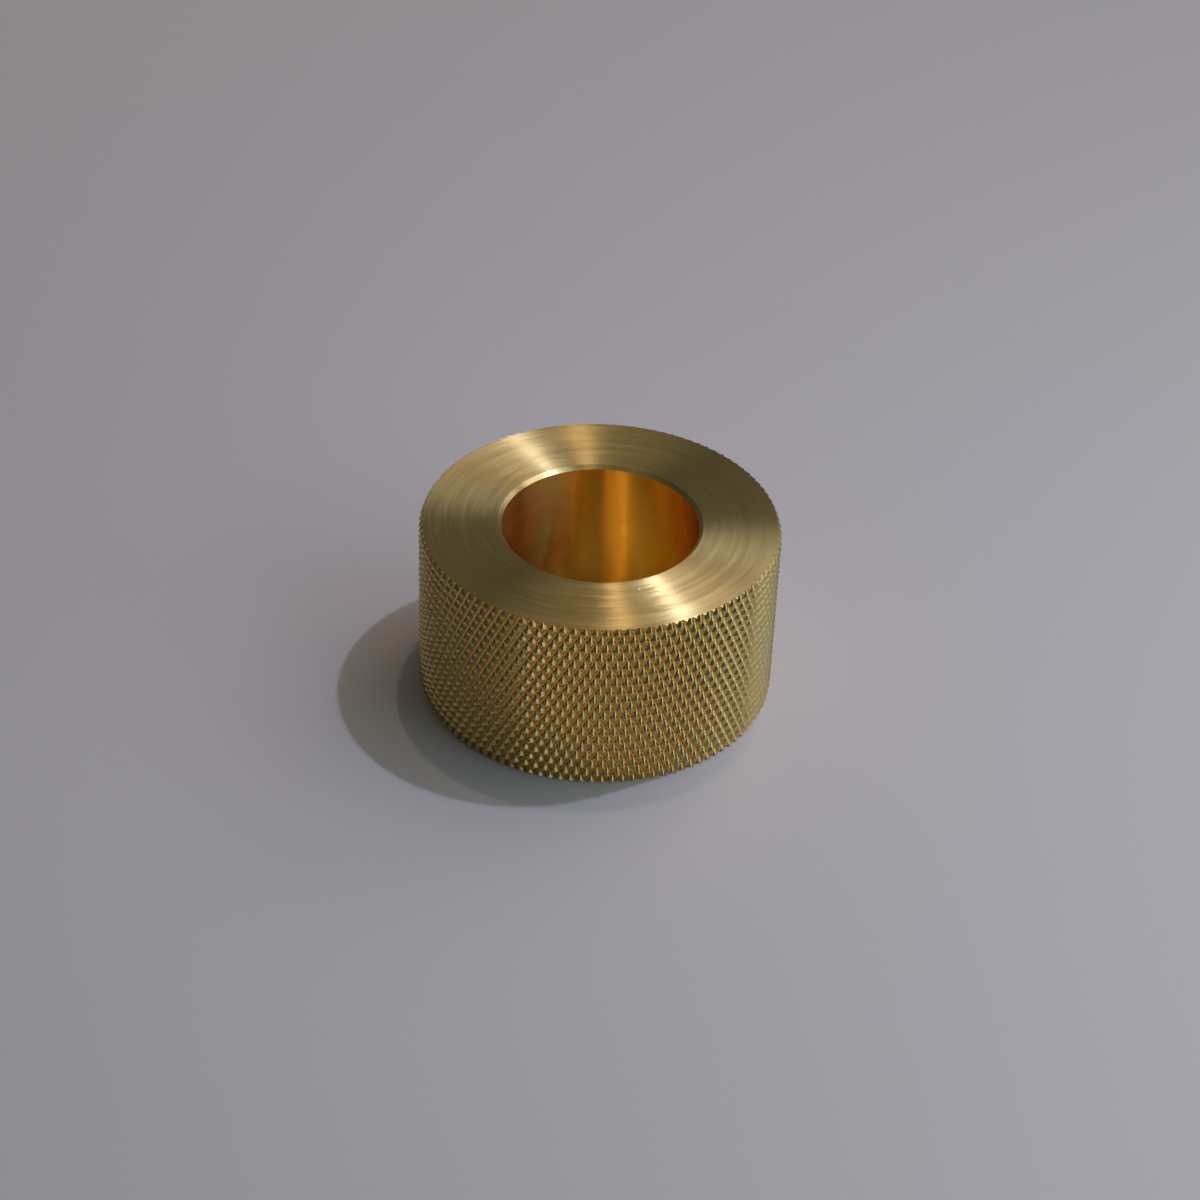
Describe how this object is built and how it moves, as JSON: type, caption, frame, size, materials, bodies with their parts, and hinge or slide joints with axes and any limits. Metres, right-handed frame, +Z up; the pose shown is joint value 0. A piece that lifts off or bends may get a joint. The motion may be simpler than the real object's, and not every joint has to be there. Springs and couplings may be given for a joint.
{
  "type": "knurled knob",
  "caption": "Short round brass knob turned in one piece, with a deep round recess in its top face and a diamond knurl over its whole outside.",
  "frame": {"origin": "centre of the flat face that the knob stands on", "axes": "+Z up along the axis of the recess; +X and +Y lie in the standing face"},
  "size_m": [0.0384, 0.0384, 0.02],
  "materials": {
    "brass": "bare turned brass, satin on the end faces and bright in the recess"
  },
  "bodies": {
    "root": {"knurled_knob": "brass"}
  },
  "joints": []
}
